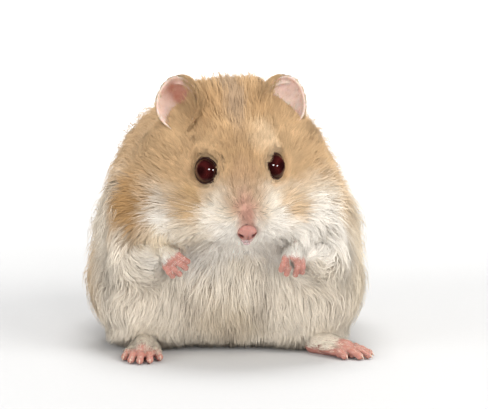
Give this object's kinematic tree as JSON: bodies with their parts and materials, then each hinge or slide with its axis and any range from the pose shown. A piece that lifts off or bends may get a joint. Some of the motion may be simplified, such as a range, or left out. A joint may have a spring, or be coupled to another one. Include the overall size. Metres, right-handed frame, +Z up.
{
  "type": "sitting dwarf hamster model",
  "caption": "Life-size still model of a furred dwarf hamster sitting on its haunches, forepaws held under the chin, resting on flats under the body and feet.",
  "frame": {"origin": "bottom centre of the bounding box, on the floor the animal sits on", "axes": "+Z up; the animal faces -Y, so +Y is towards its rump and +X is its own left"},
  "size_m": [0.054, 0.0628, 0.0516],
  "materials": {
    "fur_fawn": "soft fawn fur with a grey stripe along the back",
    "fur_cream": "soft cream to white fur",
    "skin_pink": "thin pink skin with fine creases and sparse white hair",
    "ear_pink": "thin matt skin, darker pink in the hollow, pale at the rim",
    "nose_pink": "moist bare skin",
    "eye_ruby": "wet, very dark ruby red"
  },
  "bodies": {
    "root": {"head": "fur_fawn", "neck": "fur_fawn", "trunk": "fur_fawn", "tail": "fur_cream", "foreleg_left": "fur_cream", "foreleg_right": "fur_cream", "forepaw_left": "skin_pink", "forepaw_right": "skin_pink", "hindleg_left": "fur_cream", "hindleg_right": "fur_cream", "hindfoot_left": "skin_pink", "hindfoot_right": "skin_pink", "ear_left": "ear_pink", "ear_right": "ear_pink", "nose": "nose_pink", "eye_left": "eye_ruby", "eye_right": "eye_ruby"}
  },
  "joints": []
}
